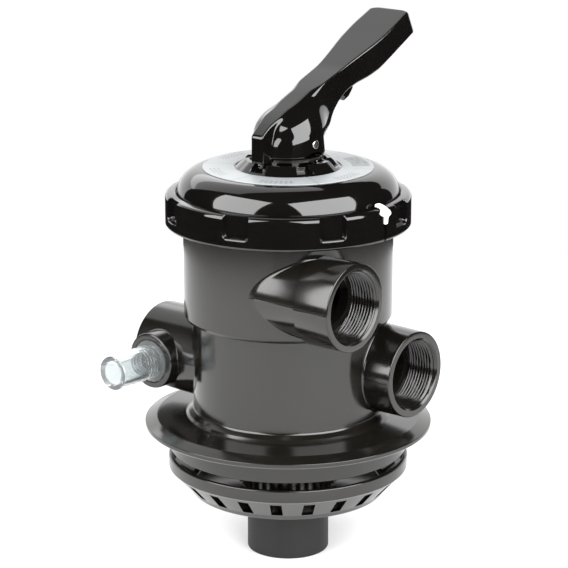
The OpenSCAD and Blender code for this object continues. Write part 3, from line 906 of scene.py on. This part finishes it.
def tab_route():
    """The tab's middle line runs in over the ring's top lip, round its corner and down its side.

    Its width goes from a round head, through a waist, to two arms and a narrow stem.
    """
    bends = np.array([(77.2, 257.6), (79.2, 257.6), (81.4, 256.6), (82.9, 254.4), (83.3, 251),
                      (83.0, 244.8)])
    away = path_lengths(bends)
    place = np.linspace(0, away[-1], 48)
    path = np.stack([soft_table(place, list(zip(away, bends[:, k])), 1.0) for k in (0, 1)], 1)
    offset = soft_table(place, [(0, -3.0), (3, -2.2), (6, -0.8), (8.5, -0.9), (10.2, 0.7), (12, 0),
                                (18, 0)], 0.6)
    halves = soft_table(place, [(0, 2.2), (1.4, 2.6), (3.0, 2.2), (5.0, 2.6), (6.6, 3.4),
                                (8.0, 5.3), (9.2, 5.2), (10.2, 4.6), (11.2, 2.2), (12.2, 1.8),
                                (18, 1.6)], 0.4)
    return path, offset, halves


TAB_THICK = 2.2
tab_mesh = mesh_of("tab", swept(*tab_route(), TAB_THICK))
show("ring_lock_tab_clip", tab_mesh, nylon, "lock_ring", "white_nylon", "ring_lock_tab")

# %% [markdown]
# ## Lever
# The lever is one hollow moulding: a narrow nose, two round cheeks over the pivot pin and a
# blade that widens into a paddle. It is found as the surface where a distance function is zero:
# the blade's and the cheeks' distances are blended with a smooth minimum, which gives the soft
# fillet between them. From a line through the middle of the lever, rays go out in every
# direction, and each one is halved again and again until it ends on the surface.

# %% Lever's distance function
PIN_Z = 290.0
CAM_Z = 281.3
PADDLE_HALF = 17.5
NOSE_Y = -32.5
NOSE_DROP = 2.9          # how far the nose hangs below the cams
RISE = math.radians(26)  # how steeply the blade climbs
TIP_REACH = 134.2        # along the blade, from below the pin to the tip
TIP_FLAT, TIP_SWEEP, TIP_BACK = 9.0, 8.5, 3.0
CROWN_SLOPE = 0.25
CHEEK_R, CHEEK_DRAFT, CHEEK_CROWN, CHEEK_TOP = 24.8, 0.09, 14.5, 310.0

TOP_LINE = [(-40, 289), (-33, 297), (-26.5, 302.8), (-19, 307.4), (-11, 311.3), (0, 316),
            (14, 322.2), (28, 327.8), (44, 333.8), (60, 341.4), (80, 351.0), (106, 363.9),
            (130, 375.6)]
UNDER_LINE = [(-40, 278.4), (13.4, 278.4), (16.2, 281.6), (24.6, 288.8), (29, 297), (34.2, 304.8),
              (40, 311.5), (48, 317.8), (57, 322), (67, 325), (77, 329.2), (90, 336.6),
              (130, 358.4)]
BLADE_HALF = [(-40, 4.9), (-24, 5.0), (-18, 6.6), (-10, 9.8), (-4, 11.3), (4, 11.6), (12, 11.1),
              (20, 10.7), (34, 11.0), (48, 11.6), (62, 14), (76, 16.8), (86, PADDLE_HALF),
              (130, PADDLE_HALF)]


def rounded_and(parts, radius):
    """Where all the parts overlap, with edges rounded to a radius."""
    inside = np.minimum(np.maximum.reduce(parts), -radius)
    return inside + np.sqrt(sum(np.maximum(p + radius, 0) ** 2 for p in parts))


def rounded_or(a, b, radius):
    """Smooth minimum of two distances: their fillet has about the given radius."""
    h = np.clip(0.5 + 0.5 * (b - a) / radius, 0, 1)
    return b + (a - b) * h - radius * h * (1 - h)


def lever_distance(p):
    """Negative inside the lever. The blade lies between its top and under lines and its two
    sides. Its edges are rounded to 1.1 mm at the nose, 5.6 mm over the shaft and 2.3 mm at the
    paddle. The cheeks are a slightly conical drum round the shaft that rolls over into the
    blade's top face. The fillet between them fades out towards the top face and the nose."""
    x, y, z = p[..., 0], p[..., 1], p[..., 2]
    half = soft_table(y, BLADE_HALF, 6)
    top = (z - soft_table(y, TOP_LINE, 4)) * math.cos(RISE)
    under = (soft_table(y, UNDER_LINE, 1.5) - z) * 0.8
    along = y * math.cos(RISE) + (z - PIN_Z) * math.sin(RISE)
    swept_back = (np.maximum(np.abs(x) - TIP_FLAT, 0) / TIP_SWEEP) ** 2 * TIP_BACK
    tip = along - TIP_REACH + swept_back
    over_shaft = smooth((y + 19) / 12) * smooth((26 - y) / 14)
    edge = 1.1 + 1.2 * smooth((y - 90) / 20) + 4.5 * over_shaft
    blade = rounded_and([top, np.abs(x) - half, tip, NOSE_Y - y, CAM_Z - NOSE_DROP - z], edge)
    wall = np.hypot(x, y) - CHEEK_R + CHEEK_DRAFT * (z - CAM_Z)
    crown = z - CHEEK_TOP - CROWN_SLOPE * y
    cheeks = rounded_and([rounded_and([wall, crown], CHEEK_CROWN), CAM_Z - z], 1.6)
    deep = 0.2 + 0.8 * smooth(-top / 7)
    fillet = 1.5 + 16 * deep * smooth((y + 24) / 10) * smooth((z - 288) / 12)
    return rounded_and([rounded_or(blade, cheeks, fillet), under], 1.1)


# %% Lever's surface
FAN = 60                 # rings that lean out to each pole
SOFTEN = 20              # points each way that the middle line is averaged over


def lever_rays(sections=300, sides=200):
    """Start points and directions. The middle line runs from the nose, through the cheeks and
    up the blade. Rays leave it square to the line; at both ends they lean out until they
    point along it, which closes the ends at a pole."""
    spine = np.array([(-22, 291.5), (-10, 294), (2, 298.5), (14, 306), (26, 315.2), (40, 323.4),
                      (56, 331.2), (76, 340.4), (96, 350.4), (108, 356.4)])
    away = path_lengths(spine)
    places = np.linspace(0, away[-1], sections)
    line = np.stack([np.interp(places, away, spine[:, k]) for k in (0, 1)], 1)
    kernel = np.hanning(2 * SOFTEN + 1)
    kernel /= kernel.sum()
    padded = np.pad(line, ((SOFTEN, SOFTEN), (0, 0)), "reflect", reflect_type="odd")
    line = np.stack([np.convolve(padded[:, k], kernel, "valid") for k in (0, 1)], 1)
    lean = smooth(np.linspace(0, 1, FAN)) * math.pi / 2
    origin, forward = (np.pad(rows, ((FAN, FAN), (0, 0)), "edge") for rows in (line, heading(line)))
    tilt = np.concatenate([-lean[::-1], np.zeros(sections), lean])
    angle = np.arange(sides) / sides * math.tau
    across = np.cos(tilt)[:, None] * np.cos(angle)
    upward = np.cos(tilt)[:, None] * np.sin(angle)
    push = np.sin(tilt)[:, None]
    direction = np.stack([across,
                          upward * -forward[:, 1:] + push * forward[:, :1],
                          upward * forward[:, :1] + push * forward[:, 1:]], -1)
    start = np.stack([np.zeros(len(origin)), origin[:, 0], origin[:, 1]], -1)[:, None, :]
    return start, direction


def first_surface(start, direction, reach=60.0, steps=110, halvings=18):
    """Walks each ray out to the first place outside, then halves the last step."""
    low = np.zeros(direction.shape[:2])
    found = np.zeros(direction.shape[:2], bool)
    for step in np.linspace(0, reach, steps)[1:]:
        outside = lever_distance(start + direction * step) > 0
        low = np.where(found | outside, low, step)
        found |= outside
    high = low + reach / (steps - 1)
    for _ in range(halvings):
        middle = (low + high) / 2
        outside = lever_distance(start + direction * middle[..., None]) > 0
        high = np.where(outside, middle, high)
        low = np.where(outside, low, middle)
    return start + direction * high[..., None]


lever_skin = first_surface(*lever_rays())
lever_mesh = mesh_of("lever", grid(lever_skin, close_rows=False))
print("lever skin spans", lever_skin.min((0, 1)).round(1), "to", lever_skin.max((0, 1)).round(1))

# %% Lever's hollow and pin hole
SHAFT_ROOM = 10.6
PIN_R = 3.0
pin_axis = Axis((0, 0, PIN_Z), (1, 0, 0), (0, 1, 0))
hollow = mesh_of("hollow", block((-SHAFT_ROOM, -14.5, 270), (SHAFT_ROOM, 15.2, 303.5)))
under_cheeks = mesh_of("under_cheeks", block((-26, -23.6, 270), (26, 22, CAM_Z - 0.02)))
arch = mesh_of("arch", turned(np.array([[0, -30], [16.5, -30], [16.5, 30], [0, 30]]), angles(96),
                              Axis((0, -1, CAM_Z - 12.7), (1, 0, 0), (0, 1, 0))))
pin_hole = mesh_of("pin_hole", rod(PIN_R + 0.05, -30, 30, pin_axis, 64))
lever_mesh = cut(lever_mesh, hollow, under_cheeks, arch, pin_hole)


def thumb_rib():
    """The small curved rib under the blade: an outline in (y, z), 4.6 mm thick."""
    edge = outline([(50.5, 322, 0), (51.6, 312.5, 2.5), (56.5, 308.6, 3), (62.5, 311.4, 2.5),
                    (66.8, 316.5, 1), (67, 328, 0)])
    rims = [(-2.3, 0.9), (-1.9, 1.0), (1.9, 1.0), (2.3, 0.9)]
    centre = edge.mean(0)
    middle = np.full((1, len(edge), 2), centre)
    rows = [middle, *((centre + (edge - centre) * size)[None] for _, size in rims), middle]
    x = np.array([rims[0][0]] + [r[0] for r in rims] + [rims[-1][0]])
    flat = np.vstack(rows)
    return grid(np.dstack([np.broadcast_to(x[:, None], flat.shape[:2]), flat]), close_rows=False)


lever_mesh = joined("lever_whole", lever_mesh, mesh_of("rib", thumb_rib()))
show("lever_moulding", lever_mesh, polished_abs, "lever", "gloss_abs", "lever", sharp=40)

# %% Lever pin
PIN_HALF = np.array(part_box("lever_pin")[1])[0] / MM
pin_profile = outline([(0, -PIN_HALF, 0), (PIN_R, -PIN_HALF, 0.6), (PIN_R, PIN_HALF, 0.6),
                       (0, PIN_HALF, 0)])
show("lever_pin_rod", mesh_of("pin", turned(pin_profile, angles(64), pin_axis)), steel, "rotor",
     "steel", "lever_pin")

# %% [markdown]
# ## Rotor spring
# The spring stands between the washer on the rotor and the one under the lid. Its end coils lie
# flat, so its height eases in and out along the wire. As the lever lifts the rotor, the spring
# is squashed from below by the rotor's travel.

# %% Rotor spring
def coil_spring(low, high, outer, wire=1.7, turns=6.5, steps=520, sides=16):
    """A round wire along a helix of 2 pi turns t, whose middle rises as 3 t^2 - 2 t^3.

    The ring round the wire lies in the plane through the axis. Its ends shrink to a point.
    """
    t = np.concatenate([np.zeros(3), np.linspace(0, 1, steps), np.ones(3)])[:, None]
    thick = wire * round_ends(len(t))[:, None]
    ring = np.arange(sides) / sides * math.tau
    reach = outer - wire + thick * np.cos(ring)
    height = low + wire + (high - low - 2 * wire) * smooth(t) + thick * np.sin(ring)
    way = math.tau * turns * t
    return grid(np.stack([reach * np.cos(way), reach * np.sin(way), height], -1), close_rows=False)


COIL_R = 24.2            # mm, outside of the coils
spring_low, spring_high = (np.array(c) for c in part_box("rotor_spring"))
spring_mesh = mesh_of("spring", coil_spring(spring_low[2] / MM, spring_high[2] / MM, COIL_R))
rotor_spring = show("rotor_spring_wire", spring_mesh, steel, "turning_head", "steel",
                    "rotor_spring")
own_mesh(rotor_spring)
print("spring", round((spring_high[2] - spring_low[2]) / MM, 1), "mm at rest")

# %% [markdown]
# ## Hidden pieces
# The rotor, the washers and the seals keep their CAD shape and take the finish of
# what they are made of.

# %% Finishes on the CAD nodes that stay
stays = {
    "rotor": rotor_abs, "spider_gasket": nitrile, "body_oring": nitrile, "riser_oring": nitrile,
    "sight_glass_gasket": nylon, "lid_oring": nitrile, "shaft_oring_upper": nitrile,
    "shaft_oring_lower": nitrile, "spring_washer_upper": nylon,
    "spring_washer_lower": nylon, "cam_washer": satin_abs}
for name, material in stays.items():
    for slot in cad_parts[name].material_slots:
        slot.material = material
print("CAD nodes with a new finish:", len(stays))

# %% [markdown]
# ## Studio
# A glossy black object shows its surroundings more than itself. Two wide soft boxes in front
# draw the bright patches on the dome, with a dark gap between them where the camera stands. A
# weaker panel, high behind and to one side, lights the lever's top face, and a low wide one
# straight behind draws the pale edges. The floor is a round white sheet whose reflection lights
# the bodies from below. The camera and the clear plastic see a white room; reflections see a
# dim one.

# %% Floor
FLOOR_R = 850.0
floor_mesh = mesh_of("floor", rod(FLOOR_R, -4, -0.2, Axis(), 128))
floor = bpy.data.objects.new("floor", floor_mesh)
bpy.context.collection.objects.link(floor)
paper = finish_of("white_paper", {"Base Color": srgb("E4E4E4"), "Roughness": 0.9})[0]
floor_mesh.materials.append(paper)


# %% Lights
CAMERA_AZIMUTH = 40.0
LOOK_AT = Vector((0, 0, 0.2))


def panel(name, azimuth, distance, height, width, tall, radiance):
    """An area light that faces the object, placed round it as the camera is.

    A flat panel of radiance L and area A gives out pi * L * A watts.
    """
    data = bpy.data.lights.new(name, "AREA")
    data.shape = "RECTANGLE"
    data.size, data.size_y = width, tall
    data.energy = math.pi * radiance * width * tall
    light = bpy.data.objects.new(name, data)
    turn = math.radians(CAMERA_AZIMUTH + azimuth)
    light.location = (distance * math.sin(turn), -distance * math.cos(turn), height)
    light.rotation_euler = (LOOK_AT - light.location).to_track_quat("-Z", "Y").to_euler()
    light.visible_camera = False
    bpy.context.collection.objects.link(light)
    print(f"{name}: {data.energy:.0f} W")


panel("left_box", -57, 1.5, 1.02, 1.6, 1.7, 8.6)
panel("right_box", 42, 1.5, 1.02, 2.0, 1.7, 9.4)
panel("rim_panel", -151, 1.3, 1.6, 1.8, 1.8, 1.3)
panel("back_panel", 180, 1.9, 0.7, 4.5, 1.6, 1.6)

# %% White room
world = bpy.data.worlds.new("studio")
world.use_nodes = True
bpy.context.scene.world = world
room = world.node_tree
backdrop = room.nodes["Background"]
ray = add(room, "ShaderNodeLightPath")
seen = add(room, "ShaderNodeMath", {"operation": "MAXIMUM"},
           {0: (ray, "Is Camera Ray"), 1: (ray, "Is Transmission Ray")})
add(room, "ShaderNodeMapRange", {"To Min": 0.02, "To Max": 1.0}, {"Value": (seen, "Value")},
    {"Result": (backdrop, "Strength")})
backdrop.inputs["Color"].default_value = (1, 1, 1, 1)
bpy.context.scene.view_settings.view_transform = "Standard"
print("studio ready")
